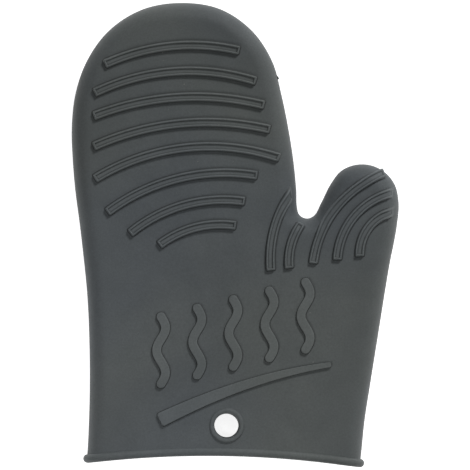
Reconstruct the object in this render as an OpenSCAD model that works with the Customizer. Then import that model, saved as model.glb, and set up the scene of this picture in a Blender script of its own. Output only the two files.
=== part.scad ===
// Silicone oven mitt, lying flat on its back: +X to the thumb side, +Y to the
// fingertips, +Z out of the palm. The origin is under the middle of its outline.
// The mitt is one moulding. Each panel, wall, rib and rim of it is a node here,
// and the nodes meet face to face.

/* [Body] */
// Thickness of the mitt between its two flat panels, outside
body_t = 27; // [20:0.5:34]
// Thickness of the silicone
wall = 1.8; // [1.4:0.1:2.6]
// Width of the rounded edge, seen from the palm side
edge_w = 10; // [8:0.5:10.5]
// Height of the seam between the cuff and the palm
cuff_top_y = -96; // [-98:1:-94]

/* [Grip ribs] */
// Width of a rib
rib_w = 5.4; // [4:0.1:6]
// Height of a rib over the panel
rib_h = 1.9; // [1.4:0.1:2.4]
// Width of the rim round the channel of a rib
rib_rim = 1.5; // [0.8:0.1:1.9]
// Depth of the channel of a rib
rib_channel = 1.2; // [0.3:0.1:1.3]

/* [Cuff] */
// Diameter of the rolled rim round the mouth
bead_d = 5; // [4:0.1:6]
// Radius of the shallow arch that the mouth follows
mouth_r = 580; // [560:5:620]
// Radius of the hanging hole
hole_r = 7.5; // [6:0.1:8]
// Width of the raised ring round the hanging hole
eyelet_w = 2.4; // [2:0.1:3]
// Height of the raised ring over the panel
eyelet_h = 1; // [0.6:0.1:1.2]

/* [Palm relief] */
// Height of the wavy strokes and of the bar under them
motif_h = 1.4; // [0.8:0.1:1.5]
// Width of a wavy stroke
stroke_w = 5.4; // [4:0.1:6]
// Length of a wavy stroke between the middles of its round ends
stroke_l = 39; // [32:1:42]
// How far a stroke swings to each side
stroke_swing = 2.6; // [1:0.1:3]

/* [Flexing bands] */
// Half the width of the band that flexes under the fingers
knuckle_half = 18; // [17:0.5:18]
// Width of the band that flexes under the thumb
web_w = 20; // [19:0.5:20]

/* [Hidden] */
$fn = 64;
far = 300;
lift = 0.01;
colour = [0.31, 0.33, 0.33];
rib_colour = [0.34, 0.36, 0.36];

z_back = rib_h;
z_front = z_back + body_t;
z_mid = z_back + body_t / 2;
height = z_front + rib_h;

// The arch of the mouth: its middle, and the line on which the walls end
mouth_c = [-16, -126 - mouth_r];
bead_r = bead_d / 2;
bead_land = 2;
bead_gap = 0.1;
wall_end_r = mouth_r + bead_land + bead_gap;

// The bend lines: under the fingers, and across the root of the thumb
knuckle_c = [-29, 34.5];
knuckle_tilt = 8;
crotch_c = [42, 15.4];
crotch_r = 6;
thumb_tilt = -45;
thumb_c = [74, 20];
thumb_r = 21;
hole_c = [-4.7, -110.7];

function on_arc(c, r, a) = c + r * [cos(a), sin(a)];
function mouth_y(x) = mouth_c.y + sqrt(pow(wall_end_r, 2) - pow(x - mouth_c.x, 2));
function mouth_slope(x) = -(x - mouth_c.x) / (mouth_y(x) - mouth_c.y);

// Knots of the outline, anticlockwise from the mouth on the thumb side
x_right = 72.8;
x_left = -85.9;
thumb_side = [[x_right, mouth_y(x_right)], [75.4, -107], [78.2, -89], [83, -59]];
web_outer = [[87.6, -30.2], [90.4, -14]];
thumb_edge = concat([[92, -6.3], [94, 5]], [for (a = [0 : 25 : 125]) on_arc(thumb_c, thumb_r, a)]);
web_inner = [[56, 29.7], [50, 17.8]];
crotch = [for (a = [-45 : -27 : -180]) on_arc(crotch_c, crotch_r, a)];
knuckle_inner = [[35.5, 25.4], [33.7, 44]];
finger_edge = [
    [31, 61.2], [27, 81], [21.5, 101], [10.5, 118], [-9, 131.5], [-31.5, 135],
    [-53, 131.5], [-73.5, 118.7], [-87, 99.5], [-93, 81], [-94.9, 62]
];
knuckle_outer = [[-94.3, 43.5], [-92.7, 25]];
little_side = [
    [-90.4, 7.7], [-88.1, -12], [-86, -33], [-84.5, -68], [-84.6, -100], [x_left, mouth_y(x_left)]
];
KNOTS = concat(
    thumb_side, web_outer, thumb_edge, web_inner, crotch, knuckle_inner, finger_edge,
    knuckle_outer, little_side
);
LAST = len(KNOTS) - 1;

// Where each stretch of wall starts, as a place in the list of knots
at_web_outer = len(thumb_side);
at_thumb = at_web_outer + len(web_outer);
at_web_inner = at_thumb + len(thumb_edge);
at_crotch = at_web_inner + len(web_inner);
at_knuckle_inner = at_crotch + len(crotch);
at_finger = at_knuckle_inner + len(knuckle_inner);
at_knuckle_outer = at_finger + len(finger_edge);
at_little = at_knuckle_outer + len(knuckle_outer);

// A smooth curve through the knots: the direction at each knot weighs the two
// spans that meet there by their lengths
function gap(i) = norm(KNOTS[i + 1] - KNOTS[i]);
function slope(i) = (KNOTS[i + 1] - KNOTS[i]) / gap(i);
function heading(i) =
    i == 0 ? [tan(7), 1] / norm([tan(7), 1])
    : i == LAST ? [-tan(4), -1] / norm([tan(4), 1])
    : (slope(i - 1) * gap(i) + slope(i) * gap(i - 1)) / (gap(i - 1) + gap(i));

function blend_point(i, t) =
    (2 * pow(t, 3) - 3 * pow(t, 2) + 1) * KNOTS[i]
    + (pow(t, 3) - 2 * pow(t, 2) + t) * gap(i) * heading(i)
    + (3 * pow(t, 2) - 2 * pow(t, 3)) * KNOTS[i + 1]
    + (pow(t, 3) - pow(t, 2)) * gap(i) * heading(i + 1);

function blend_heading(i, t) =
    (6 * pow(t, 2) - 6 * t) * KNOTS[i]
    + (3 * pow(t, 2) - 4 * t + 1) * gap(i) * heading(i)
    + (6 * t - 6 * pow(t, 2)) * KNOTS[i + 1]
    + (3 * pow(t, 2) - 2 * t) * gap(i) * heading(i + 1);

function inward(v) = [-v.y, v.x] / norm(v);

// Each sample of the outline is a point and the direction that leads inwards
sample_step = 8;
function sample(i, t) = [blend_point(i, t), inward(blend_heading(i, t))];
function samples(a, b) = concat(
    [
        for (i = [a : b - 1])
        let (n = ceil(gap(i) / sample_step))
        for (k = [0 : n - 1]) sample(i, k / n)
    ],
    [sample(b - 1, 1)]
);

// Section of a wall: out round the edge from the palm side to the back, and home
section_steps = 4;
function round_edge(shell, from, to) = [
    for (k = [0 : 2 * section_steps])
    let (a = from + (to - from) * k / (2 * section_steps))
    [shell + (edge_w - shell) * (1 - cos(a)), z_mid + (body_t / 2 - shell) * sin(a)]
];
SECTION = concat(round_edge(0, 90, -90), round_edge(wall, -90, 90));

// A point of the section at a sample; at the mouth, the section lies along the arch
function place(s, p, at_mouth) =
    let (q = s[0] + p.x * s[1])
    [q.x, at_mouth ? s[0].y + (q.x - s[0].x) * mouth_slope(s[0].x) : q.y, p.y];

// One stretch of the rounded edge, from knot a to knot b
module edge_wall(a, b) {
    path = samples(a, b);
    m = len(path) - 1;
    n = len(SECTION);
    points = [
        for (j = [0 : m])
        let (at_mouth = (j == 0 && a == 0) || (j == m && b == LAST))
        for (p = SECTION) place(path[j], p, at_mouth)
    ];
    sides = [
        for (j = [0 : m - 1])
        for (k = [0 : n - 1])
        let (here = j * n + k, next = j * n + (k + 1) % n)
        for (f = [[here, here + n, next + n], [here, next + n, next]]) f
    ];
    start_cap = [
        for (k = [0 : n / 2 - 2])
        let (outer = [k, k + 1], inner = [n - 1 - k, n - 2 - k])
        for (f = [[outer[0], outer[1], inner[1]], [outer[0], inner[1], inner[0]]]) f
    ];
    end_cap = [for (f = start_cap) [for (k = [2 : -1 : 0]) m * n + f[k]]];
    polyhedron(points, concat(start_cap, end_cap, sides));
}

// Inside the rounded edge, the two sides of the mitt are flat
module flat_area() {
    inner = [for (s = samples(0, LAST)) s[0] + edge_w * s[1]];
    low_right = [inner[0].x, -far];
    low_left = [inner[len(inner) - 1].x, -far];
    polygon(concat(inner, [low_left, low_right]));
}

module past_mouth() {
    translate(mouth_c) circle(r = wall_end_r, $fn = 360);
}

module hand_half() {
    translate([-far, -far]) square([far + crotch_c.x, 2 * far]);
}

module thumb_half() {
    translate([crotch_c.x, -far]) square([far, 2 * far]);
}

module finger_strip(low, high) {
    intersection() {
        translate(knuckle_c) rotate(knuckle_tilt) translate([-far, low]) square([2 * far, high - low]);
        hand_half();
    }
}

module thumb_strip(low, high) {
    intersection() {
        translate(crotch_c) rotate(thumb_tilt) translate([-far, low]) square([2 * far, high - low]);
        thumb_half();
    }
}

module cuff_zone() {
    difference() {
        translate([-far, -far]) square([2 * far, far + cuff_top_y]);
        past_mouth();
        translate(hole_c) circle(r = hole_r);
    }
}

module palm_zone() {
    difference() {
        translate([-far, cuff_top_y]) square(2 * far);
        finger_strip(-knuckle_half, far);
        thumb_strip(0, far);
    }
}

// A flat panel of the palm side or of the back, over one zone of the outline
module panel(front) {
    z = front ? z_front - wall : z_back;
    color(colour) translate([0, 0, z]) linear_extrude(wall) intersection() {
        flat_area();
        children();
    }
}

// The arc through three points: its middle, radius and first and last angles
function arc_middle(p) =
    let (
        u = p[1] - p[0],
        v = p[2] - p[0],
        d = 2 * (u.x * v.y - u.y * v.x)
    )
    p[0] + [v.y * (u * u) - u.y * (v * v), u.x * (v * v) - v.x * (u * u)] / d;
function angle_of(c, q) = atan2(q.y - c.y, q.x - c.x);
function turn(from, to) = (to - from + 540) % 360 - 180;

module arc_bar(c, r, from, to, w, h) {
    translate(c) rotate(from) rotate_extrude(angle = to - from, $fn = 180)
        translate([r - w / 2, 0]) square([w, h]);
}

// A rib is a bar along an arc, with a shallow channel inside its rim
module rib(p) {
    c = arc_middle(p);
    r = norm(p[1] - c);
    from = angle_of(c, p[2]);
    to = from + turn(from, angle_of(c, p[0]));
    rim_turn = sign(to - from) * rib_rim / r * 180 / PI;
    start = min(from, to);
    end = max(from, to);
    difference() {
        arc_bar(c, r, start, end, rib_w, rib_h);
        translate([0, 0, rib_h - rib_channel])
            arc_bar(c, r, start + abs(rim_turn), end - abs(rim_turn), rib_w - 2 * rib_rim, rib_h);
    }
}

module on_front() {
    color(rib_colour) translate([0, 0, z_front]) children();
}

module on_back() {
    color(rib_colour) translate([0, 0, z_back]) mirror([0, 0, 1]) children();
}

// Ribs across the fingers and palm: little-finger end, middle and thumb end
FINGER_RIBS = [
    [[-75.8, 99.2], [-26.2, 110.4], [2.7, 107.1]],
    [[-81.8, 82.6], [-25.6, 95.4], [12.3, 89.4]],
    [[-82.3, 69.1], [-24.5, 80.4], [17.1, 75.5]],
    [[-82.3, 51.4], [-25, 65.4], [20.4, 61.4]],
    [[-81.5, 32.6], [-27.1, 50.9], [25.7, 44.9]],
    [[-74.3, 13.2], [-27, 34.2], [13.1, 34.6]],
    [[-61.1, 0.9], [-27, 18.1], [5.8, 19.6]],
    [[-44.1, -5.9], [-20.9, 4.9], [0.7, 5.5]]
];

// Ribs round the root of the thumb: lower end, middle and upper end. The last
// three run on over the thumb, where a second piece carries them.
PALM_THUMB_RIBS = [
    [[20.5, -20.8], [22.6, 4], [32.4, 25.2]],
    [[31.3, -19.5], [33.1, -4], [38.4, 6.3]]
];
LONG_THUMB_RIBS = [
    [[45.3, -16.7], [56.4, 12.4], [83.6, 34.6]],
    [[59.4, -14.6], [68.6, 10], [88.8, 23.9]],
    [[72.3, -12.6], [78.2, 5], [90, 13.1]]
];

// The part of a long rib on the thumb, or the part before it
module cut_rib(p, on_thumb) {
    intersection() {
        rib(p);
        linear_extrude(rib_h) thumb_cut(on_thumb);
    }
}

module thumb_cut(on_thumb) {
    y = on_thumb ? web_w : web_w - far;
    translate(crotch_c) rotate(thumb_tilt) translate([-far, y]) square([2 * far, far]);
}

// The rolled rim round the mouth is one loop: it runs along the palm side, turns
// round one corner, runs back under the cuff and turns round the other. It is laid
// out flat, as a distance along the arch and a height, and then bent to the arch.
// Its section is round, with a flat land where the panels and walls end on it.
turn_r = height / 2 - bead_r;
function arch_distance(x) = mouth_r * asin((x - mouth_c.x) / mouth_r) * PI / 180;
run_right = arch_distance(x_right) - turn_r;
run_left = arch_distance(x_left) + turn_r;
run_steps = 20;
turn_steps = 10;
function run_loop(from, to, side) = [
    for (k = [0 : run_steps - 1])
    [from + (to - from) * k / run_steps, z_mid + side * turn_r, 0, side]
];
function turn_loop(middle, from) = [
    for (k = [0 : turn_steps - 1])
    let (a = from + 180 * k / turn_steps)
    [middle + turn_r * cos(a), z_mid + turn_r * sin(a), cos(a), sin(a)]
];
BEAD_LOOP = concat(
    run_loop(run_right, run_left, 1), turn_loop(run_left, 90),
    run_loop(run_left, run_right, -1), turn_loop(run_right, 270)
);

land_angle = acos(bead_land / bead_r);
profile_steps = 12;
BEAD_PROFILE = [
    for (k = [0 : profile_steps])
    let (a = land_angle + (360 - 2 * land_angle) * k / profile_steps)
    bead_r * [cos(a), sin(a)]
];

function bent(s, z, up) =
    let (a = s / mouth_r * 180 / PI)
    [mouth_c.x + (mouth_r + up) * sin(a), mouth_c.y + (mouth_r + up) * cos(a), z];

module cuff_bead() {
    n = len(BEAD_PROFILE);
    m = len(BEAD_LOOP);
    points = [
        for (q = BEAD_LOOP)
        for (p = BEAD_PROFILE) bent(q[0] + p.y * q[2], q[1] + p.y * q[3], p.x)
    ];
    faces = [
        for (j = [0 : m - 1])
        for (k = [0 : n - 1])
        let (
            here = j * n + k,
            next = j * n + (k + 1) % n,
            ahead = (j + 1) % m * n + k,
            ahead_next = (j + 1) % m * n + (k + 1) % n
        )
        for (f = [[here, ahead_next, ahead], [here, next, ahead_next]]) f
    ];
    color(rib_colour) polyhedron(points, faces);
}

module eyelet() {
    translate(hole_c) difference() {
        cylinder(r = hole_r + eyelet_w, h = eyelet_h);
        translate([0, 0, -lift]) cylinder(r = hole_r, h = eyelet_h + 2 * lift);
    }
}

// Wavy strokes: a band of even width along one and a half waves, with round ends
WAVES = [[-43, -67], [-22, -62], [-1, -57], [20, -52], [41, -47]];
wave_count = 1.5;
wave_steps = 30;
end_steps = 8;
function wave_mid(t) = [stroke_swing * sin(360 * wave_count * t), (t - 0.5) * stroke_l];
function wave_heading(t) = [stroke_swing * 2 * PI * wave_count * cos(360 * wave_count * t), stroke_l];
function wave_edge(t, side) = wave_mid(t) + side * stroke_w / 2 * inward(wave_heading(t));
function wave_end(t, from) =
    let (v = wave_heading(t), a0 = atan2(v.y, v.x) + from)
    [
        for (k = [1 : end_steps - 1])
        let (a = a0 + 180 * k / end_steps)
        wave_mid(t) + stroke_w / 2 * [cos(a), sin(a)]
    ];

module wave() {
    linear_extrude(motif_h) polygon(concat(
        [for (k = [0 : wave_steps]) wave_edge(k / wave_steps, -1)],
        wave_end(1, -90),
        [for (k = [wave_steps : -1 : 0]) wave_edge(k / wave_steps, 1)],
        wave_end(0, 90)
    ));
}

// The bar under the strokes rises and narrows towards the thumb side
BAR_START = [-43.9, -107.8];
BAR_BEND = [8, -82];
BAR_END = [55.9, -75.3];
bar_start_w = 8.5;
bar_end_w = 3;
bar_steps = 16;
function bar_point(t) = pow(1 - t, 2) * BAR_START + 2 * t * (1 - t) * BAR_BEND + t * t * BAR_END;
function bar_heading(t) = (1 - t) * (BAR_BEND - BAR_START) + t * (BAR_END - BAR_BEND);
function bar_edge(t, side) =
    bar_point(t) + side * (bar_start_w + (bar_end_w - bar_start_w) * t) / 2 * inward(bar_heading(t));

module palm_bar() {
    on_front() linear_extrude(motif_h) polygon(concat(
        [for (k = [0 : bar_steps]) bar_edge(k / bar_steps, -1)],
        [for (k = [bar_steps : -1 : 0]) bar_edge(k / bar_steps, 1)]
    ));
}

module palm_waves() {
    on_front() for (p = WAVES) translate(p) wave();
}

FINGER_NAMES = [for (i = [1 : len(FINGER_RIBS)]) str("grip_rib_", i)];
BACK_FINGER_NAMES = [for (i = [1 : len(FINGER_RIBS)]) str("back_rib_", i)];
PALM_THUMB_NAMES = ["thumb_rib_1", "thumb_rib_2"];
BACK_PALM_THUMB_NAMES = ["back_thumb_rib_1", "back_thumb_rib_2"];
WEB_NAMES = ["thumb_rib_3", "thumb_rib_4", "thumb_rib_5"];
BACK_WEB_NAMES = ["back_thumb_rib_3", "back_thumb_rib_4", "back_thumb_rib_5"];
TIP_NAMES = ["thumb_tip_rib_3", "thumb_tip_rib_4", "thumb_tip_rib_5"];
BACK_TIP_NAMES = ["back_thumb_tip_rib_3", "back_thumb_tip_rib_4", "back_thumb_tip_rib_5"];

module cuff_front() { panel(true) cuff_zone(); }
module cuff_back() { panel(false) cuff_zone(); }
module palm_front() { panel(true) palm_zone(); }
module palm_back() { panel(false) palm_zone(); }
module palm_wall_outer() { color(colour) edge_wall(at_little, LAST); }
module palm_wall_thumb_side() { color(colour) edge_wall(0, at_web_outer); }
module crotch_wall() { color(colour) edge_wall(at_crotch, at_knuckle_inner); }
module eyelet_front() { on_front() eyelet(); }
module eyelet_back() { on_back() eyelet(); }
module knuckle_front() { panel(true) finger_strip(-knuckle_half, knuckle_half); }
module knuckle_back() { panel(false) finger_strip(-knuckle_half, knuckle_half); }
module knuckle_wall_outer() { color(colour) edge_wall(at_knuckle_outer, at_little); }
module knuckle_wall_inner() { color(colour) edge_wall(at_knuckle_inner, at_finger); }
module finger_front() { panel(true) finger_strip(knuckle_half, far); }
module finger_back() { panel(false) finger_strip(knuckle_half, far); }
module finger_wall() { color(colour) edge_wall(at_finger, at_knuckle_outer); }
module web_front() { panel(true) thumb_strip(0, web_w); }
module web_back() { panel(false) thumb_strip(0, web_w); }
module web_wall_outer() { color(colour) edge_wall(at_web_outer, at_thumb); }
module web_wall_inner() { color(colour) edge_wall(at_web_inner, at_crotch); }
module thumb_front() { panel(true) thumb_strip(web_w, far); }
module thumb_back() { panel(false) thumb_strip(web_w, far); }
module thumb_wall() { color(colour) edge_wall(at_thumb, at_web_inner); }

cuff_front();
cuff_back();
palm_front();
palm_back();
palm_wall_outer();
palm_wall_thumb_side();
crotch_wall();
cuff_bead();
eyelet_front();
eyelet_back();
palm_waves();
palm_bar();
knuckle_front();
knuckle_back();
knuckle_wall_outer();
knuckle_wall_inner();
finger_front();
finger_back();
finger_wall();
web_front();
web_back();
web_wall_outer();
web_wall_inner();
thumb_front();
thumb_back();
thumb_wall();
for (i = [0 : len(FINGER_RIBS) - 1]) {
    on_front() rib(FINGER_RIBS[i]);
    on_back() rib(FINGER_RIBS[i]);
}
for (i = [0 : len(PALM_THUMB_RIBS) - 1]) {
    on_front() rib(PALM_THUMB_RIBS[i]);
    on_back() rib(PALM_THUMB_RIBS[i]);
}
for (i = [0 : len(LONG_THUMB_RIBS) - 1]) {
    on_front() cut_rib(LONG_THUMB_RIBS[i], false);
    on_back() cut_rib(LONG_THUMB_RIBS[i], false);
    on_front() cut_rib(LONG_THUMB_RIBS[i], true);
    on_back() cut_rib(LONG_THUMB_RIBS[i], true);
}
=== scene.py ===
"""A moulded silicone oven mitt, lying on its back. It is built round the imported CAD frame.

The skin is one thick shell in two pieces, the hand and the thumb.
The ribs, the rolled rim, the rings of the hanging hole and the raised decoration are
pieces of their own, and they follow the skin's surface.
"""

import math

import bmesh
import bpy
import numpy as np
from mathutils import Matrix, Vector, noise
from mathutils.bvhtree import BVHTree
from mathutils.geometry import delaunay_2d_cdt


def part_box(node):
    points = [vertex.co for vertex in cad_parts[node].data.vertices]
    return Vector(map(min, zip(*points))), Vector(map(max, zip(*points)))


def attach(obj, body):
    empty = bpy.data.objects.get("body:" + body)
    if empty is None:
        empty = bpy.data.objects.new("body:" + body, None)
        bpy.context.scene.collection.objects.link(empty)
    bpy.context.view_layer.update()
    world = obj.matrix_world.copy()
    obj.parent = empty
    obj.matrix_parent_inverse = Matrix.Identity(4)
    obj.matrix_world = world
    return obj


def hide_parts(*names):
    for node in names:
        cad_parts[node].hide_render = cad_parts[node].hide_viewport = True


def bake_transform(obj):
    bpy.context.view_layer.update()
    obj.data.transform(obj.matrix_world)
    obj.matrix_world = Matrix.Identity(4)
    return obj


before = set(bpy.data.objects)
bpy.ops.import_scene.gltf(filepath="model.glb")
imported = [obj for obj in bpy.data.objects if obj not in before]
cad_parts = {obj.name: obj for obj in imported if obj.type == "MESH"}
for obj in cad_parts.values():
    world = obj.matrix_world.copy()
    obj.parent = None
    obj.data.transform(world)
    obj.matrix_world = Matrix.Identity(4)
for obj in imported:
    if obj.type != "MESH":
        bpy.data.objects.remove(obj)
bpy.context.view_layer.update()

MM = 0.001

# ---------------------------------------------------------------- sizes from the frame
front_low, front_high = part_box("palm_front")
back_low, back_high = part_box("palm_back")
eyelet_low, eyelet_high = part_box("eyelet_front")
bead_low, bead_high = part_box("cuff_bead")

WALL = front_high.z - front_low.z
Z_MID = (front_high.z + back_low.z) / 2
HALF = (front_high.z - back_low.z) / 2
RIB_HEIGHT = back_low.z
HOLE = np.array([(eyelet_low.x + eyelet_high.x) / 2, (eyelet_low.y + eyelet_high.y) / 2])
RING_RADIUS = (eyelet_high.x - eyelet_low.x) / 2
RING_HEIGHT = eyelet_high.z - eyelet_low.z

# ---------------------------------------------------------------- sizes of the design
EDGE = 10 * MM
LIP_WIDTH = 2.4 * MM
HOLE_RADIUS = RING_RADIUS - LIP_WIDTH
BEAD_RADIUS = 2.5 * MM
MOUTH_RADIUS = 580 * MM
MOUTH_CENTRE = np.array([-16 * MM, -126 * MM - MOUTH_RADIUS])
SKIN_END = 1.2 * MM
PARTING_RIDGE = 0.22 * MM
FRONT_CROWN = 0.9 * MM
WAVINESS = 0.22 * MM
WAVES_PER_METRE = 28
WAVE_LAYER = 1.7

CROTCH = np.array([42, 15.4]) * MM
THUMB_CENTRE = (74, 20)
THUMB_RADIUS = 21
CROTCH_RADIUS = 6


def arc_knots(centre, radius, degrees):
    """Points on a circle, in millimetres, at the given angles."""
    return [
        (centre[0] + radius * math.cos(math.radians(a)), centre[1] + radius * math.sin(math.radians(a)))
        for a in degrees
    ]


def mouth_y(x, out=0.0):
    """Height of the mouth's arch at x, that far towards the fingers from its middle line."""
    return MOUTH_CENTRE[1] + np.sqrt((MOUTH_RADIUS + out) ** 2 - (x - MOUTH_CENTRE[0]) ** 2)


# Knots of the outline in millimetres, anticlockwise from the mouth on the thumb side.
# They are the knots of the CAD walls.
RIGHT_X = 72.8
LEFT_X = -85.9
THUMB_SIDE = [(RIGHT_X, mouth_y(RIGHT_X * MM, SKIN_END) / MM), (75.4, -107), (78.2, -89), (83, -59)]
WEB_OUTER = [(87.6, -30.2), (90.4, -14)]
THUMB_EDGE = [(92, -6.3), (94, 5)] + arc_knots(THUMB_CENTRE, THUMB_RADIUS, range(0, 126, 25))
WEB_INNER = [(56, 29.7), (50, 17.8)]
CROTCH_EDGE = arc_knots((CROTCH[0] / MM, CROTCH[1] / MM), CROTCH_RADIUS, range(-45, -181, -27))
HAND_EDGE = [
    (35.5, 25.4), (33.7, 44), (31, 61.2), (27, 81), (21.5, 101), (10.5, 118), (-9, 131.5),
    (-31.5, 135), (-53, 131.5), (-73.5, 118.7), (-87, 99.5), (-93, 81), (-94.9, 62), (-94.3, 43.5),
    (-92.7, 25), (-90.4, 7.7), (-88.1, -12), (-86, -33), (-84.5, -68), (-84.6, -100),
    (LEFT_X, mouth_y(LEFT_X * MM, SKIN_END) / MM),
]
KNOTS = np.array(THUMB_SIDE + WEB_OUTER + THUMB_EDGE + WEB_INNER + CROTCH_EDGE + HAND_EDGE) * MM
FIRST_THUMB_KNOT = len(THUMB_SIDE)
LAST_THUMB_KNOT = FIRST_THUMB_KNOT + len(WEB_OUTER) + len(THUMB_EDGE) + len(WEB_INNER)
FIRST_HEADING = np.array([math.tan(math.radians(7)), 1.0])
LAST_HEADING = np.array([-math.tan(math.radians(4)), -1.0])


# ---------------------------------------------------------------- the outline
def knot_headings(knots):
    """Direction of the curve at each knot: the two spans that meet there, weighed by length."""
    span = knots[1:] - knots[:-1]
    length = np.linalg.norm(span, axis=1)[:, None]
    slope = span / length
    inner = (slope[:-1] * length[1:] + slope[1:] * length[:-1]) / (length[:-1] + length[1:])
    first = FIRST_HEADING / np.linalg.norm(FIRST_HEADING)
    last = LAST_HEADING / np.linalg.norm(LAST_HEADING)
    return np.vstack([first, inner, last]), length[:, 0]


def outline(step):
    """Samples of the outline: points, inward directions, and the sample at each knot."""
    heads, length = knot_headings(KNOTS)
    points, tangents, at_knot = [], [], []
    for i, size in enumerate(length):
        count = max(1, math.ceil(size / step))
        last_span = i == len(length) - 1
        t = (np.arange(count + (1 if last_span else 0)) / count)[:, None]
        p0, p1 = KNOTS[i], KNOTS[i + 1]
        m0, m1 = heads[i] * size, heads[i + 1] * size
        at_knot.append(sum(len(p) for p in points))
        points.append(
            (2 * t**3 - 3 * t**2 + 1) * p0 + (t**3 - 2 * t**2 + t) * m0
            + (3 * t**2 - 2 * t**3) * p1 + (t**3 - t**2) * m1
        )
        tangents.append(
            (6 * t**2 - 6 * t) * p0 + (3 * t**2 - 4 * t + 1) * m0
            + (6 * t - 6 * t**2) * p1 + (3 * t**2 - 2 * t) * m1
        )
    points = np.vstack(points)
    tangents = np.vstack(tangents)
    tangents /= np.linalg.norm(tangents, axis=1)[:, None]
    at_knot.append(len(points) - 1)
    return points, np.column_stack([-tangents[:, 1], tangents[:, 0]]), at_knot


# ---------------------------------------------------------------- the planar net of the skin
# The net is a flat map of the mitt seen from the palm side: rings of quads round the
# rounded edge, and triangles inside them. Four surfaces are lifted from the same net.
RING_ANGLES = [math.radians(a) for a in (7, 14, 22, 31, 40, 50, 60, 70, 80, 90)]
GRID = 3.6 * MM
EDGE_STEP = 2.4 * MM
LINE_CLEARANCE = 0.55 * GRID
MOUTH_POINTS = 38
HOLE_SIDES = 48
NEAR_HOLE = 1.6 * MM
HOLE_CLEARANCE = 3.4 * MM


def edge_profile(shell):
    """Inset and height over the mid-plane of each ring, for a surface that deep in the wall."""
    ridge = PARTING_RIDGE if shell == 0 else 0.0
    start = [(-ridge, 0.0), (-0.7 * ridge, 0.22 * MM), (0.0, 0.5 * MM)]
    rings = [
        ((EDGE - shell) * (1 - math.cos(a)), (HALF - shell) * math.sin(a)) for a in RING_ANGLES
    ]
    return [(inset + shell, z) for inset, z in start + rings]


def inside(polygon, points):
    """Which of the points lie inside a closed polygon."""
    x, y = points[:, 0][:, None], points[:, 1][:, None]
    x0, y0 = polygon[:, 0], polygon[:, 1]
    x1, y1 = np.roll(x0, -1), np.roll(y0, -1)
    crosses = (y0 > y) != (y1 > y)
    run = np.where(y1 == y0, 1.0, y1 - y0)
    at = x0 + (y - y0) / run * (x1 - x0)
    return (np.sum(crosses & (x < at), axis=1) % 2) == 1


def distance_to_line(points, line):
    """Distance from each point to the nearest of a dense row of points."""
    return np.sqrt(((points[:, None, :] - line[None, :, :]) ** 2).sum(2)).min(1)


def between(a, b, step):
    """Evenly spaced points between two points, without the two."""
    count = max(2, round(np.linalg.norm(b - a) / step))
    return [a + (b - a) * k / count for k in range(1, count)]


points, inward, at_knot = outline(EDGE_STEP)
SAMPLES = len(points)
OUTER_EDGE = edge_profile(0.0)
INNER_EDGE = edge_profile(WALL)
RINGS = len(OUTER_EDGE)
THUMB_FIRST = at_knot[FIRST_THUMB_KNOT]
THUMB_LAST = at_knot[LAST_THUMB_KNOT]


def ring_points(inset):
    """The outline moved inwards, its two ends kept on the arch of the mouth."""
    moved = points + inward * inset
    for end in (0, -1):
        moved[end, 1] = mouth_y(moved[end, 0], SKIN_END)
    return moved


innermost = ring_points(EDGE)
mouth_x = np.linspace(innermost[-1, 0], innermost[0, 0], MOUTH_POINTS)[1:-1]
mouth_line = np.column_stack([mouth_x, mouth_y(mouth_x, SKIN_END)])
flat_outline = np.vstack([innermost, mouth_line])
seam = np.array(between(innermost[THUMB_FIRST], innermost[THUMB_LAST], GRID))
hole_turns = np.linspace(0, 2 * math.pi, HOLE_SIDES, endpoint=False)
hole_circle = np.column_stack([np.cos(hole_turns), np.sin(hole_turns)])
hole_ring = HOLE + HOLE_RADIUS * hole_circle
near_hole = HOLE + (HOLE_RADIUS + NEAR_HOLE) * hole_circle

rows = []
row_step = GRID * math.sqrt(3) / 2
low, high = flat_outline.min(0), flat_outline.max(0)
for row, y in enumerate(np.arange(low[1], high[1], row_step)):
    x = np.arange(low[0] + (row % 2) * GRID / 2, high[0], GRID)
    rows.append(np.column_stack([x, np.full(len(x), y)]))
grid = np.vstack(rows)
grid = grid[inside(flat_outline, grid)]
grid = grid[distance_to_line(grid, flat_outline) > LINE_CLEARANCE]
grid = grid[distance_to_line(grid, seam) > LINE_CLEARANCE]
grid = grid[np.linalg.norm(grid - HOLE, axis=1) > HOLE_RADIUS + HOLE_CLEARANCE]

flat_points = np.vstack([flat_outline, seam, hole_ring, near_hole, grid])
loop = len(flat_outline)
seam_ids = [THUMB_FIRST, *range(loop, loop + len(seam)), THUMB_LAST]
hole_first = loop + len(seam)
fixed_edges = [(k, (k + 1) % loop) for k in range(loop)]
fixed_edges += list(zip(seam_ids, seam_ids[1:]))
fixed_edges += [(hole_first + k, hole_first + (k + 1) % HOLE_SIDES) for k in range(HOLE_SIDES)]
flat_net = delaunay_2d_cdt([Vector(p) for p in flat_points], fixed_edges, [], 0, 1e-7)
net_xy = np.array([tuple(v) for v in flat_net[0]])
triangles = np.array(flat_net[2])
middles = net_xy[triangles].mean(1)
keep = inside(flat_outline, middles)
keep &= np.linalg.norm(middles - HOLE, axis=1) > HOLE_RADIUS * 0.99
triangles = triangles[keep]
middles = middles[keep]
thumb_outline = np.vstack([innermost[THUMB_FIRST:THUMB_LAST + 1], seam[::-1]])
on_thumb = inside(thumb_outline, middles)


def crown_heights():
    """How far each net point swells: the shape of a sheet under even pressure, 0 to 1."""
    count = len(net_xy)
    fixed = np.zeros(count, bool)
    fixed[:SAMPLES] = True
    links = np.zeros((count, count))
    for a, b in ((0, 1), (1, 2), (2, 0)):
        links[triangles[:, a], triangles[:, b]] = 1
        links[triangles[:, b], triangles[:, a]] = 1
    system = np.diag(np.maximum(links.sum(1), 1)) - links
    system[fixed] = 0
    system[fixed, fixed] = 1
    swell = np.linalg.solve(system, np.where(fixed, 0.0, 1.0))
    share = swell / swell.max()
    return share * share * (3 - 2 * share)


crown = crown_heights()


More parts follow.
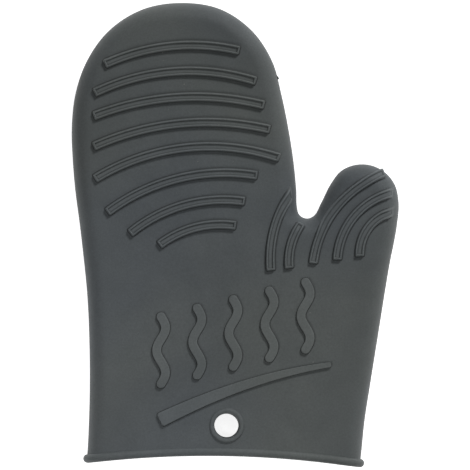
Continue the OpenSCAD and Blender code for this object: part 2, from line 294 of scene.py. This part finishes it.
def front_rise(xy, share):
    """Height that the swelling and the slight waviness of the silicone add to the palm side."""
    wave = np.array([
        noise.noise(Vector((x * WAVES_PER_METRE, y * WAVES_PER_METRE, WAVE_LAYER))) for x, y in xy
    ])
    return FRONT_CROWN * share + WAVINESS * wave * np.minimum(1, share * 8)


# Net points: first every ring but the last, then the points of the flat net, which
# start with the innermost ring.
RING_POINTS = (RINGS - 1) * SAMPLES


def lifted(profile, shell, side):
    """The net's points on one surface: side 1 is the palm side and -1 is the back."""
    rings = [
        np.column_stack([ring_points(inset), np.full(SAMPLES, Z_MID + side * z)])
        for inset, z in profile[:-1]
    ]
    rise = front_rise(net_xy, crown) if side > 0 else np.zeros(len(net_xy))
    flat = np.column_stack([net_xy, Z_MID + side * (HALF - shell) + rise])
    return np.vstack(rings + [flat])


SURFACES = [
    lifted(OUTER_EDGE, 0.0, 1), lifted(OUTER_EDGE, 0.0, -1),
    lifted(INNER_EDGE, WALL, 1), lifted(INNER_EDGE, WALL, -1),
]
OUT_FRONT, OUT_BACK, IN_FRONT, IN_BACK = range(4)


def net_faces(thumb):
    """Faces of the net that belong to the thumb's piece, or to the rest, seen from the palm side."""
    faces = []
    for i in range(SAMPLES - 1):
        if (THUMB_FIRST <= i < THUMB_LAST) != thumb:
            continue
        for k in range(RINGS - 1):
            start, ahead = k * SAMPLES + i, (k + 1) * SAMPLES + i
            faces.append((start, start + 1, ahead + 1, ahead))
    for triangle in triangles[on_thumb == thumb]:
        faces.append(tuple(RING_POINTS + k for k in triangle))
    return faces


def surface_point(surface, k):
    """One vertex for both sides where they meet, on the first ring."""
    if k < SAMPLES and surface in (OUT_BACK, IN_BACK):
        surface -= 1
    return surface, k


def skin_piece(name, thumb):
    """A closed shell: four surfaces, and rims where they end."""
    flat = net_faces(thumb)
    polygons = []
    for face in flat:
        for surface in (OUT_FRONT, IN_BACK):
            polygons.append([surface_point(surface, k) for k in face])
        for surface in (OUT_BACK, IN_FRONT):
            polygons.append([surface_point(surface, k) for k in reversed(face)])
    edges = {(face[k], face[(k + 1) % len(face)]) for face in flat for k in range(len(face))}
    sharp = set()
    for a, b in edges:
        if (b, a) in edges or (a < SAMPLES and b < SAMPLES):
            continue
        for upper, lower in ((OUT_FRONT, IN_FRONT), (IN_BACK, OUT_BACK)):
            rim = [
                surface_point(upper, a), surface_point(lower, a),
                surface_point(lower, b), surface_point(upper, b),
            ]
            polygons.append(rim)
            sharp.add(frozenset((rim[0], rim[3])))
            sharp.add(frozenset((rim[1], rim[2])))
    names = sorted({p for polygon in polygons for p in polygon})
    index = {p: k for k, p in enumerate(names)}
    mesh = bpy.data.meshes.new(name)
    verts = [tuple(SURFACES[s][k]) for s, k in names]
    mesh.from_pydata(verts, [], [[index[p] for p in polygon] for polygon in polygons])
    mesh.shade_smooth()
    sharp_pairs = {frozenset(index[p] for p in pair) for pair in sharp}
    mesh.edges.foreach_set("use_edge_sharp", [frozenset(e.vertices) in sharp_pairs for e in mesh.edges])
    return add(name, mesh)


def add(name, mesh):
    """Puts a mesh into the scene as an object of that name."""
    piece = bpy.data.objects.new(name, mesh)
    bpy.context.scene.collection.objects.link(piece)
    return piece


# ---------------------------------------------------------------- resting things on the skin
DENSE_STEP = 0.4 * MM
dense_points, dense_inward, _ = outline(DENSE_STEP)
tree = BVHTree.FromPolygons(
    [Vector((x, y, 0)) for x, y in net_xy], [tuple(int(k) for k in t) for t in triangles]
)
rise_of_net = front_rise(net_xy, crown)


def rise_at(x, y):
    """Height of the palm side over its flat level, straight between the net's points."""
    hit, _, face, _ = tree.ray_cast(Vector((x, y, 1)), Vector((0, 0, -1)))
    if face is None:
        return 0.0
    (x0, y0), (x1, y1), (x2, y2) = net_xy[triangles[face]]
    area = (x1 - x0) * (y2 - y0) - (x2 - x0) * (y1 - y0)
    b = ((x - x0) * (y2 - y0) - (x2 - x0) * (y - y0)) / area
    c = ((x1 - x0) * (y - y0) - (x - x0) * (y1 - y0)) / area
    rise = rise_of_net[triangles[face]]
    return float(rise[0] * (1 - b - c) + rise[1] * b + rise[2] * c)


def skin_at(x, y, side):
    """A point of the skin and the direction out of it, on the palm side or the back.

    A place past the outline is moved to the nearest point of the outline."""
    gap = ((dense_points - (x, y)) ** 2).sum(1)
    nearest = int(gap.argmin())
    inset = math.sqrt(gap[nearest])
    if dense_inward[nearest] @ (np.array([x, y]) - dense_points[nearest]) < 0:
        x, y = dense_points[nearest]
        inset = 0.0
    if inset >= EDGE:
        rise = rise_at(x, y) if side > 0 else 0.0
        return np.array([x, y, Z_MID + side * HALF + rise]), np.array([0.0, 0.0, side])
    run = 1 - inset / EDGE
    height = math.sqrt(1 - run * run)
    out = -dense_inward[nearest]
    normal = np.array([out[0] * run / EDGE, out[1] * run / EDGE, side * height / HALF])
    return np.array([x, y, Z_MID + side * HALF * height]), normal / np.linalg.norm(normal)


# ---------------------------------------------------------------- raised strokes
CORNER_STEPS = 5
LEAST_CORNER = 0.08 * MM
STROKE_STEP = 1.6 * MM
SKEW_REACH = 9 * MM
END_REACH = 3 * MM
END_HIGHLIGHT_SHARE = 0.25


def stroke_loop(length, width, corner, stations):
    """Clockwise places (along, across) round a rectangle with round corners."""
    a, b = length / 2, width / 2
    along = np.linspace(-(a - corner), a - corner, stations)
    loop_points = [(u, b) for u in along]
    turns = np.linspace(0, math.pi / 2, CORNER_STEPS + 2)[1:-1]
    for t in turns:
        loop_points.append((a - corner + corner * math.sin(t), b - corner + corner * math.cos(t)))
    loop_points += [(a, b - corner), (a, -(b - corner))]
    for t in turns:
        loop_points.append((a - corner + corner * math.cos(t), -(b - corner) - corner * math.sin(t)))
    loop_points += [(u, -b) for u in along[::-1]]
    for t in turns:
        loop_points.append((-(a - corner) - corner * math.sin(t), -(b - corner) - corner * math.cos(t)))
    loop_points += [(-a, -(b - corner)), (-a, b - corner)]
    for t in turns:
        loop_points.append((-(a - corner) - corner * math.cos(t), b - corner + corner * math.sin(t)))
    return loop_points


def cap_faces(first, stations, size):
    """Strips across one loop, from its far side to its near side, and its two ends."""
    end = CORNER_STEPS * 2 + 2
    near = [first + stations + end + k for k in range(stations)][::-1]
    far = [first + k for k in range(stations)]
    faces = [(far[k], far[k + 1], near[k + 1], near[k]) for k in range(stations - 1)]
    faces.append(tuple(range(first + stations - 1, first + stations + end + 1)))
    faces.append((first + 2 * stations + end - 1, *range(first + 2 * stations + end, first + size), first))
    return faces


def stroke(
    name, path, length, width, corner, profile, side, taper=None, skew=0.0, fade=None, step=STROKE_STEP
):
    """A raised stroke along a path on the skin. The profile lists how far in from the
    stroke's edge each loop lies, how far out of the skin, and its painted shading: below
    zero is painted shade, above zero a painted highlight. The far end can
    be cut aslant, and its height can fade."""
    stations = max(4, math.ceil(length / step))
    verts, faces, painted_shading_level = [], [], []
    size = 2 * stations + 4 * (CORNER_STEPS + 1)
    for inset, height, painted_shading in profile:
        round_off = max(corner - inset, LEAST_CORNER)
        for u, v in stroke_loop(length - 2 * inset, width - 2 * inset, round_off, stations):
            share = fade(length / 2 - u) if fade else 1.0
            # The painted highlight on the crests weakens towards the stroke's ends.
            end_highlight_share = min(1.0, END_HIGHLIGHT_SHARE + (1 - END_HIGHLIGHT_SHARE) * (length / 2 - abs(u)) / END_REACH)
            painted_shading_level.append(painted_shading * share * (end_highlight_share if painted_shading > 0 else 1.0))
            near_end = min(1.0, max(0.0, 1 - (length / 2 - u) / SKEW_REACH))
            u += skew * v * near_end
            point, heading = path(u)
            across = np.array([-heading[1], heading[0]])
            x, y = point + across * v * (taper(u) if taper else 1.0)
            base, normal = skin_at(x, y, side)
            verts.append(tuple(base + normal * height * (share if height > 0 else 1.0)))
    for ring in range(len(profile) - 1):
        for k in range(size):
            here, ahead = ring * size + k, ring * size + (k + 1) % size
            faces.append((here, ahead, ahead + size, here + size))
    faces += [tuple(reversed(f)) for f in cap_faces(0, stations, size)]
    faces += cap_faces((len(profile) - 1) * size, stations, size)
    piece = closed(name, verts, faces)
    # The painted shade and painted highlight of each vertex go to the material as an attribute.
    piece.data.attributes.new("painted_shading", "FLOAT", "POINT").data.foreach_set("value", painted_shading_level)
    return piece


def closed(name, verts, faces):
    """A closed mesh with its faces looking outwards."""
    mesh = bpy.data.meshes.new(name)
    mesh.from_pydata(verts, [], faces)
    work = bmesh.new()
    work.from_mesh(mesh)
    bmesh.ops.recalc_face_normals(work, faces=work.faces)
    work.to_mesh(mesh)
    work.free()
    mesh.shade_smooth()
    return add(name, mesh)


def arc_path(p0, p1, p2):
    """A path along the arc through three points, and its length. It is measured from its middle."""
    a, b, c = (np.array(p) * MM for p in (p0, p1, p2))
    u, v = b - a, c - a
    d = 2 * (u[0] * v[1] - u[1] * v[0])
    middle = a + np.array([v[1] * (u @ u) - u[1] * (v @ v), u[0] * (v @ v) - v[0] * (u @ u)]) / d
    radius = np.linalg.norm(b - middle)
    first = math.atan2(*(a - middle)[::-1])
    sweep = (math.atan2(*(c - middle)[::-1]) - first + math.pi) % (2 * math.pi) - math.pi
    turn = math.copysign(1, sweep)
    centre_angle = first + sweep / 2

    def path(along):
        angle = centre_angle + turn * along / radius
        out = np.array([math.cos(angle), math.sin(angle)])
        return middle + radius * out, turn * np.array([-out[1], out[0]])

    return path, abs(sweep) * radius


# ---------------------------------------------------------------- colours and finish
def grey(r, g, b):
    """A linear colour from three display values."""
    return tuple(((c / 255 + 0.055) / 1.055) ** 2.4 if c > 10 else c / 3294 for c in (r, g, b)) + (1.0,)


# Painted shade darkens the colour in a stroke's creases, and a painted highlight lightens its crests.
PAINTED_CREASE_SHADE = 0.42
PAINTED_CREST_HIGHLIGHT = 1.26


def silicone(name, dark, light, roughness=0.68):
    """Moulded silicone: slow drifts of tone, a fine matte grain, and a little pale dust."""
    material = bpy.data.materials.new(name)
    material.use_nodes = True
    nodes, links = material.node_tree.nodes, material.node_tree.links
    nodes.clear()
    output = nodes.new("ShaderNodeOutputMaterial")
    shader = nodes.new("ShaderNodeBsdfPrincipled")
    links.new(shader.outputs["BSDF"], output.inputs["Surface"])
    shader.inputs["IOR"].default_value = 1.42
    shader.inputs["Specular IOR Level"].default_value = 0.3
    shader.inputs["Sheen Weight"].default_value = 0.04
    shader.inputs["Sheen Roughness"].default_value = 0.5
    place = nodes.new("ShaderNodeTexCoord").outputs["Object"]

    def noise_map(scale, detail=3.0, rough=0.55):
        node = nodes.new("ShaderNodeTexNoise")
        node.inputs["Scale"].default_value = scale
        node.inputs["Detail"].default_value = detail
        node.inputs["Roughness"].default_value = rough
        links.new(place, node.inputs["Vector"])
        return node.outputs["Fac"]

    def ramp(value, low, high, low_colour, high_colour):
        node = nodes.new("ShaderNodeValToRGB")
        node.color_ramp.elements[0].position = low
        node.color_ramp.elements[1].position = high
        node.color_ramp.elements[0].color = low_colour
        node.color_ramp.elements[1].color = high_colour
        links.new(value, node.inputs["Fac"])
        return node.outputs["Color"]

    def mix(kind, share, a, b):
        node = nodes.new("ShaderNodeMix")
        node.data_type = "RGBA"
        node.blend_type = kind
        if isinstance(share, float):
            node.inputs["Factor"].default_value = share
        else:
            links.new(share, node.inputs["Factor"])
        links.new(a, node.inputs["A"])
        if isinstance(b, tuple):
            node.inputs["B"].default_value = b
        else:
            links.new(b, node.inputs["B"])
        return node.outputs["Result"]

    tone = ramp(noise_map(22.0, 2.0), 0.3, 0.7, dark, light)
    grain = ramp(noise_map(900.0, 2.0, 0.7), 0.25, 0.75, (0.84, 0.84, 0.84, 1), (1.16, 1.16, 1.16, 1))
    tone = mix("MULTIPLY", 0.7, tone, grain)
    blotches = noise_map(75.0, 5.0, 0.65)
    patches = ramp(blotches, 0.35, 0.7, (0.95, 0.955, 0.95, 1), (1.06, 1.055, 1.06, 1))
    tone = mix("MULTIPLY", 0.8, tone, patches)
    cast = ramp(noise_map(9.0, 1.0), 0.38, 0.62, (0.985, 1.0, 1.03, 1), (1.015, 1.01, 0.965, 1))
    tone = mix("MULTIPLY", 1.0, tone, cast)
    # Painted shade and painted highlight: the colour is darkened in a stroke's creases and lightened on its
    # crests, as the stroke's painted shading attribute says.
    edge = nodes.new("ShaderNodeAttribute")
    edge.attribute_name = "painted_shading"
    painted_shading_level = nodes.new("ShaderNodeMapRange")
    painted_shading_level.inputs["From Min"].default_value = -1.0
    links.new(edge.outputs["Fac"], painted_shading_level.inputs["Value"])
    shade = nodes.new("ShaderNodeValToRGB")
    shade.color_ramp.elements[0].color = (PAINTED_CREASE_SHADE, PAINTED_CREASE_SHADE, PAINTED_CREASE_SHADE, 1)
    shade.color_ramp.elements[1].color = (PAINTED_CREST_HIGHLIGHT, PAINTED_CREST_HIGHLIGHT, PAINTED_CREST_HIGHLIGHT, 1)
    shade.color_ramp.elements.new(0.5).color = (1, 1, 1, 1)
    links.new(painted_shading_level.outputs["Result"], shade.inputs["Fac"])
    tone = mix("MULTIPLY", 1.0, tone, shade.outputs["Color"])
    speck = nodes.new("ShaderNodeTexVoronoi")
    speck.inputs["Scale"].default_value = 210.0
    links.new(place, speck.inputs["Vector"])
    dust = ramp(speck.outputs["Distance"], 0.035, 0.075, (1, 1, 1, 1), (0, 0, 0, 1))
    where = ramp(noise_map(160.0, 1.0), 0.63, 0.68, (0, 0, 0, 1), (0.55, 0.55, 0.55, 1))
    dusty = mix("MULTIPLY", 1.0, dust, where)
    tone = mix("MIX", dusty, tone, grey(150, 150, 142))
    links.new(tone, shader.inputs["Base Color"])

    spread = nodes.new("ShaderNodeMapRange")
    spread.inputs["To Min"].default_value = roughness - 0.06
    spread.inputs["To Max"].default_value = roughness + 0.08
    links.new(noise_map(60.0, 4.0), spread.inputs["Value"])
    links.new(spread.outputs["Result"], shader.inputs["Roughness"])

    fine = nodes.new("ShaderNodeBump")
    fine.inputs["Strength"].default_value = 0.22
    fine.inputs["Distance"].default_value = 0.00012
    links.new(noise_map(1500.0, 3.0, 0.6), fine.inputs["Height"])
    broad = nodes.new("ShaderNodeBump")
    broad.inputs["Strength"].default_value = 0.35
    broad.inputs["Distance"].default_value = 0.0006
    links.new(noise_map(95.0, 3.0), broad.inputs["Height"])
    links.new(fine.outputs["Normal"], broad.inputs["Normal"])
    links.new(broad.outputs["Normal"], shader.inputs["Normal"])
    return material


SKIN = silicone("silicone_skin", grey(74, 78, 80), grey(81, 85, 86))
# The relief's silicone is the skin's made a few levels lighter: a painted highlight on the raised parts.
RELIEF_PAINTED_LIGHTER = silicone("silicone_relief", grey(78, 82, 83), grey(85, 89, 90), 0.64)


def finish(piece, material, slot, *nodes):
    """Gives a piece its material and hides the CAD nodes that it stands for; the slot is not used."""
    piece.data.materials.append(material)
    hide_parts(*nodes)
    return piece


def bend_fingers(piece):
    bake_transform(piece)


def bend_thumb(piece):
    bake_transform(piece)


# ---------------------------------------------------------------- the skin
hand = skin_piece("hand_skin", False)
finish(
    hand, SKIN, "silicone",
    "cuff_front", "cuff_back", "palm_front", "palm_back", "palm_wall_outer", "palm_wall_thumb_side",
    "crotch_wall", "knuckle_front", "knuckle_back", "knuckle_wall_outer", "knuckle_wall_inner",
    "finger_front", "finger_back", "finger_wall",
)
bend_fingers(hand)

thumb_skin = skin_piece("thumb_skin", True)
finish(
    thumb_skin, SKIN, "silicone",
    "web_front", "web_back", "web_wall_outer", "web_wall_inner", "thumb_front", "thumb_back", "thumb_wall",
)
bend_thumb(thumb_skin)

# ---------------------------------------------------------------- the grip ribs
RIB_WIDTH = 5.4 * MM
RIB_CORNER = 0.9 * MM
FINGER_RIBS = [
    [(-75.8, 99.2), (-26.2, 110.4), (2.7, 107.1)],
    [(-81.8, 82.6), (-25.6, 95.4), (12.3, 89.4)],
    [(-82.3, 69.1), (-24.5, 80.4), (17.1, 75.5)],
    [(-82.3, 51.4), (-25, 65.4), (20.4, 61.4)],
    [(-81.5, 32.6), (-27.1, 50.9), (25.7, 44.9)],
    [(-74.3, 13.2), (-27, 34.2), (13.1, 34.6)],
    [(-61.1, 0.9), (-27, 18.1), (5.8, 19.6)],
    [(-44.1, -5.9), (-20.9, 4.9), (0.7, 5.5)],
]
# The CAD's knots, but for the lower ends, which lie 0.1 to 0.4 mm off on all but the fourth.
# The other two knots of the first lie 0.4 and 0.8 mm off.
THUMB_RIBS = [
    [(20.9, -20.8), (23, 4), (32.7, 24.5)],
    [(31.6, -19.5), (33.1, -4), (38.4, 6.3)],
    [(45.4, -16.7), (56.4, 12.4), (83.6, 34.6)],
    [(59.4, -14.6), (68.6, 10), (88.8, 23.9)],
    [(72.5, -12.6), (78.2, 5), (90, 13.1)],
]


# How the far end of each thumb rib meets the rounded edge: how much further than the
# CAD rib it runs, how its end is slanted, and how its height fades.
THUMB_RIB_ENDS = [
    {"skew": 1.15, "fade": (4 * MM, 0.35)}, {"skew": -0.15},
    {"further": 3.4 * MM, "skew": -0.05, "fade": (3 * MM, 0.75)},
    {"further": 3.4 * MM, "skew": 0.3, "fade": (4 * MM, 0.04)},
    {"further": 2.4 * MM, "skew": 0.35, "fade": (4 * MM, 0.04)},
]


def rib_profile():
    """A rib's section from its foot: a flared side, a round rim and a shallow channel.

    The foot is deep enough to stay in the skin when the thumb folds."""
    top = RIB_HEIGHT
    # The third column is painted shading: painted shade at the foot and in the channel under the rims, a
    # painted highlight on the rims.
    return [(i * MM, h, painted_shading) for i, h, painted_shading in (
        (-0.7, -1.0 * MM, -1), (-0.7, -0.05 * MM, -0.6), (-0.26, 0.06 * MM, -1), (0.0, top * 0.24, -0.9),
        (0.12, top * 0.48, -0.5), (0.3, top * 0.75, 0.2), (0.56, top * 0.94, 0.9), (0.88, top, 1),
        (1.16, top * 0.94, 0.7), (1.36, top * 0.8, 0), (1.5, top * 0.66, -0.7), (1.64, top * 0.57, -0.8),
        (1.84, top * 0.53, -0.3), (2.15, top * 0.52, 0), (2.4, top * 0.52, 0.1),
    )]


def fade_over(reach, least):
    """A height that falls to a given share over the last stretch before the far end."""
    def share(left):
        t = min(1.0, max(0.0, left / reach))
        return least + (1 - least) * t * t * (3 - 2 * t)
    return share


def rib(name, ends, side, nodes, move, further=0.0, skew=0.0, fade=None):
    """A rib through three points. Its far end can run further, be cut aslant and fade."""
    path, length = arc_path(*ends)

    def longer(along):
        return path(along + further / 2)

    piece = stroke(
        name, longer, length + further, RIB_WIDTH, RIB_CORNER, rib_profile(), side, skew=skew, fade=fade
    )
    finish(piece, RELIEF_PAINTED_LIGHTER, "silicone_relief", *nodes)
    move(piece)


def ride_palm(piece):
    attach(piece, "palm")


def ride_fingers(piece):
    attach(piece, "fingers")


for side, finger_node, thumb_node, tip_node in (
    (1, "grip_rib", "thumb_rib", "thumb_tip_rib"), (-1, "back_rib", "back_thumb_rib", "back_thumb_tip_rib")
):
    face = "front" if side > 0 else "back"
    for k, ends in enumerate(FINGER_RIBS, 1):
        move = ride_fingers if k <= 3 else bend_fingers
        rib(f"finger_rib_{face}_{k}", ends, side, [f"{finger_node}_{k}"], move)
    for k, ends in enumerate(THUMB_RIBS, 1):
        long_rib = k >= 3
        nodes = [f"{thumb_node}_{k}"] + ([f"{tip_node}_{k}"] if long_rib else [])
        move = bend_thumb if long_rib else bend_fingers if k == 1 else ride_palm
        far_end = dict(THUMB_RIB_ENDS[k - 1])
        if "fade" in far_end:
            far_end["fade"] = fade_over(*far_end["fade"])
        rib(f"thumb_rib_{face}_{k}", ends, side, nodes, move, **far_end)

# ---------------------------------------------------------------- the nib on the parting line
NIB_END = np.array([25.0, 91.0]) * MM
NIB_LENGTH = 3.6 * MM
NIB_RISE = 1.2 * MM
NIB_THICK = 1.6 * MM
NIB_ROOT = 0.6 * MM
NIB_UNDERCUT = 0.25 * MM
NIB_CURVE = 1.6
NIB_STEPS = 9


def parting_nib():
    """A scrap of flash left on the parting line: a fin that rises slowly and stops short."""
    nearest = int(((dense_points - NIB_END) ** 2).sum(1).argmin())
    out = -dense_inward[nearest]
    along = np.array([-out[1], out[0]])
    start = dense_points[nearest]
    row = [
        (NIB_LENGTH * k / NIB_STEPS, NIB_RISE * (1 - k / NIB_STEPS) ** NIB_CURVE)
        for k in range(NIB_STEPS + 1)
    ]
    row = [(-NIB_UNDERCUT, -NIB_ROOT), *row, (NIB_LENGTH, -NIB_ROOT)]
    verts = []
    for z in (-NIB_THICK / 2, NIB_THICK / 2):
        for ahead, rise in row:
            x, y = start + along * ahead + out * rise
            verts.append((x, y, Z_MID + z))
    count = len(row)
    faces = [tuple(range(count)), tuple(range(2 * count - 1, count - 1, -1))]
    faces += [(k, (k + 1) % count, count + (k + 1) % count, count + k) for k in range(count)]
    return closed("parting_nib", verts, faces)


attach(finish(parting_nib(), SKIN, "silicone", "finger_wall"), "fingers")

# ---------------------------------------------------------------- the raised decoration
MOTIF_HEIGHT = 1.4 * MM
STROKE_WIDTH = 5.4 * MM
STROKE_LENGTH = 39 * MM
STROKE_SWING = 2.6 * MM
WAVES = [(-43, -67), (-22, -62), (-1, -57), (20, -52), (41, -47)]
WAVE_COUNT = 1.5
WAVE_STEP = 0.9 * MM


def flat_profile(top, narrowest):
    """Section of a flat-topped stroke: a flared foot, a steep side and a small round edge."""
    # The third column is painted shading: painted shade at the foot, a painted highlight on the rounded top
    # edge.
    steps = [
        (-0.5, -0.5 * MM, -1), (-0.5, -0.05 * MM, -0.6), (-0.2, 0.06 * MM, -1),
        (-0.02, 0.28 * MM, -0.9), (0.08, top * 0.66, -0.4), (0.16, top * 0.86, 0.2),
        (0.34, top * 0.96, 0.7), (0.6, top, 0.6),
        (1.0, top * 1.005, 0.3),
    ]
    return [(min(i * MM, narrowest * 0.9), h, painted_shading) for i, h, painted_shading in steps]


def wave_path(middle):
    """A path up a swaying stroke, measured along it from its middle."""
    t = np.linspace(-0.12, 1.12, 400)
    turn = 2 * math.pi * WAVE_COUNT
    sway = np.column_stack([STROKE_SWING * np.sin(turn * t), (t - 0.5) * STROKE_LENGTH])
    xy = sway + np.array(middle) * MM
    travelled = np.concatenate([[0], np.cumsum(np.linalg.norm(np.diff(xy, axis=0), axis=1))])
    ends = np.interp([0, 1], t, travelled)
    centre = ends.mean()

    def path(along):
        share = np.interp(centre + along, travelled, t)
        point = np.array([np.interp(share, t, xy[:, 0]), np.interp(share, t, xy[:, 1])])
        heading = np.array([STROKE_SWING * turn * math.cos(turn * share), STROKE_LENGTH])
        return point, heading / np.linalg.norm(heading)

    return path, ends[1] - ends[0]


for k, middle in enumerate(WAVES, 1):
    path, length = wave_path(middle)
    wave = stroke(
        f"palm_wave_{k}", path, length + STROKE_WIDTH, STROKE_WIDTH, STROKE_WIDTH / 2 - 0.02 * MM,
        flat_profile(MOTIF_HEIGHT, STROKE_WIDTH / 2), 1, step=WAVE_STEP,
    )
    finish(wave, RELIEF_PAINTED_LIGHTER, "silicone_relief", "palm_waves")
    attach(wave, "palm")

BAR_START = np.array([-43.9, -107.8]) * MM
BAR_BEND = np.array([8, -82]) * MM
BAR_END = np.array([55.9, -75.3]) * MM
BAR_START_WIDTH = 8.5 * MM
BAR_END_WIDTH = 3.0 * MM
BAR_CORNER = 1.5 * MM


def bar_path():
    """A path along the bent bar, measured along it from its middle."""
    t = np.linspace(0, 1, 300)[:, None]
    xy = (1 - t) ** 2 * BAR_START + 2 * t * (1 - t) * BAR_BEND + t**2 * BAR_END
    travelled = np.concatenate([[0], np.cumsum(np.linalg.norm(np.diff(xy, axis=0), axis=1))])
    half = travelled[-1] / 2

    def path(along):
        share = float(np.interp(along + half, travelled, t[:, 0]))
        point = (1 - share) ** 2 * BAR_START + 2 * share * (1 - share) * BAR_BEND + share**2 * BAR_END
        heading = (1 - share) * (BAR_BEND - BAR_START) + share * (BAR_END - BAR_BEND)
        return point, heading / np.linalg.norm(heading)

    return path, 2 * half


path, bar_length = bar_path()
bar = stroke(
    "palm_bar_relief", path, bar_length, BAR_START_WIDTH, BAR_CORNER,
    flat_profile(MOTIF_HEIGHT, BAR_END_WIDTH), 1,
    taper=lambda u: 1 - (0.5 + u / bar_length) * (1 - BAR_END_WIDTH / BAR_START_WIDTH),
)
finish(bar, RELIEF_PAINTED_LIGHTER, "silicone_relief", "palm_bar")
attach(bar, "palm")

# ---------------------------------------------------------------- the rolled rim and the rings
BEAD_SIDES = 28
TURN_STEPS = 28
RUN_STEPS = 90


def rolled_rim():
    """The loop round the mouth: laid out as a distance along the arch and a height, then bent."""
    turn = (bead_high.z - bead_low.z) / 2 - BEAD_RADIUS
    middle = (bead_high.z + bead_low.z) / 2

    def along_arch(x):
        return MOUTH_RADIUS * math.asin((x * MM - MOUTH_CENTRE[0]) / MOUTH_RADIUS)

    right, left = along_arch(RIGHT_X) - turn, along_arch(LEFT_X) + turn
    loop_line = []
    for start, end, side, angle in ((right, left, 1, math.pi / 2), (left, right, -1, 1.5 * math.pi)):
        for k in range(RUN_STEPS):
            loop_line.append((start + (end - start) * k / RUN_STEPS, side * turn, 0.0, side))
        for k in range(TURN_STEPS):
            a = angle + math.pi * k / TURN_STEPS
            loop_line.append((end + turn * math.cos(a), turn * math.sin(a), math.cos(a), math.sin(a)))
    verts, faces = [], []
    for s, z, out_s, out_z in loop_line:
        for k in range(BEAD_SIDES):
            a = 2 * math.pi * k / BEAD_SIDES
            up, out = BEAD_RADIUS * math.cos(a), BEAD_RADIUS * math.sin(a)
            turned = (s + out * out_s) / MOUTH_RADIUS
            reach = MOUTH_RADIUS + up
            verts.append((
                MOUTH_CENTRE[0] + reach * math.sin(turned), MOUTH_CENTRE[1] + reach * math.cos(turned),
                middle + z + out * out_z,
            ))
    count = len(loop_line)
    for j in range(count):
        for k in range(BEAD_SIDES):
            ahead, beside = (j + 1) % count, (k + 1) % BEAD_SIDES
            faces.append((
                j * BEAD_SIDES + k, j * BEAD_SIDES + beside, ahead * BEAD_SIDES + beside, ahead * BEAD_SIDES + k
            ))
    return closed("rolled_rim", verts, faces)


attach(finish(rolled_rim(), RELIEF_PAINTED_LIGHTER, "silicone_relief", "cuff_bead"), "palm")

RING_SIDES = 72
BORE_DRIFT = np.array([0.36, 0.26]) * MM


def hole_lip(name, side):
    """The raised ring round the hanging hole: a round-topped lip with a flared foot.

    The bore narrows through the wall, and its inner end is a little off centre."""
    width = RING_RADIUS - HOLE_RADIUS
    section = [(RING_RADIUS + 0.4 * MM, -0.4 * MM), (RING_RADIUS + 0.35 * MM, -0.02 * MM),
               (RING_RADIUS + 0.08 * MM, 0.12 * MM), (RING_RADIUS - 0.08 * MM, RING_HEIGHT * 0.55)]
    for a in np.linspace(20, 160, 9):
        turn = math.radians(a)
        radius = HOLE_RADIUS + width * (0.5 + 0.44 * math.cos(turn))
        section.append((radius, RING_HEIGHT * (0.6 + 0.4 * math.sin(turn))))
    section += [(HOLE_RADIUS - 0.02 * MM, RING_HEIGHT * 0.5), (HOLE_RADIUS - 0.35 * MM, -WALL * 0.5),
                (HOLE_RADIUS - 0.45 * MM, -WALL - 0.05 * MM), (HOLE_RADIUS + 0.6 * MM, -WALL * 0.8)]
    verts, faces = [], []
    base = Z_MID + side * HALF + (rise_at(*(HOLE + (HOLE_RADIUS + 1 * MM, 0))) if side > 0 else 0)
    for k in range(RING_SIDES):
        a = 2 * math.pi * k / RING_SIDES
        for radius, height in section:
            x, y = HOLE + BORE_DRIFT * min(0.0, height / WALL)
            verts.append((x + radius * math.cos(a), y + radius * math.sin(a), base + side * height))
    count = len(section)
    for k in range(RING_SIDES):
        ahead = (k + 1) % RING_SIDES
        for j in range(count):
            beside = (j + 1) % count
            faces.append((k * count + j, k * count + beside, ahead * count + beside, ahead * count + j))
    return closed(name, verts, faces)


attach(finish(hole_lip("hole_lip_front", 1), RELIEF_PAINTED_LIGHTER, "silicone_relief", "eyelet_front"), "palm")
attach(finish(hole_lip("hole_lip_back", -1), RELIEF_PAINTED_LIGHTER, "silicone_relief", "eyelet_back"), "palm")

# ---------------------------------------------------------------- floor, lights and camera
floor_mesh = bpy.data.meshes.new("floor")
floor_mesh.from_pydata([(-8, -8, 0), (8, -8, 0), (8, 8, 0), (-8, 8, 0)], [], [(0, 1, 2, 3)])
floor = add("floor", floor_mesh)
floor_material = bpy.data.materials.new("pale_floor")
floor_material.use_nodes = True
floor_shader = floor_material.node_tree.nodes["Principled BSDF"]
floor_shader.inputs["Base Color"].default_value = (0.75, 0.75, 0.75, 1)
floor_shader.inputs["Roughness"].default_value = 0.9
floor_shader.inputs["Emission Color"].default_value = (1, 1, 1, 1)
floor_shader.inputs["Emission Strength"].default_value = 0.84
floor.data.materials.append(floor_material)


def area_light(name, place, target, size, power):
    """A soft square light that looks at a point."""
    light = bpy.data.lights.new(name, "AREA")
    light.size = size
    light.energy = power
    lamp = bpy.data.objects.new(name, light)
    lamp.location = place
    lamp.rotation_euler = (Vector(target) - Vector(place)).to_track_quat("-Z", "Y").to_euler()
    bpy.context.scene.collection.objects.link(lamp)


area_light("key", (1.7, 3.1, 2.05), (0, 0, 0), 0.7, 138)
area_light("near_right", (0.5, -0.4, 0.5), (0.06, -0.1, 0), 0.3, 1.0)
area_light("near_left", (-0.28, -0.28, 0.42), (-0.03, -0.05, 0), 0.3, 1.25)

world = bpy.data.worlds.new("soft_world")
world.use_nodes = True
world.node_tree.nodes["Background"].inputs["Color"].default_value = (1, 1, 1, 1)
world.node_tree.nodes["Background"].inputs["Strength"].default_value = 0.05
bpy.context.scene.world = world
bpy.context.scene.view_settings.view_transform = "Standard"

FRAME_WIDTH = 273.8 * MM
CAMERA_HEIGHT = 6.0
SENSOR = 36.0
camera_data = bpy.data.cameras.new("camera")
camera_data.sensor_width = SENSOR
camera_data.lens = SENSOR * (CAMERA_HEIGHT - Z_MID) / FRAME_WIDTH
camera_data.clip_end = 40
camera = bpy.data.objects.new("camera", camera_data)
camera.location = (0, 0, CAMERA_HEIGHT)
bpy.context.scene.collection.objects.link(camera)
bpy.context.scene.camera = camera
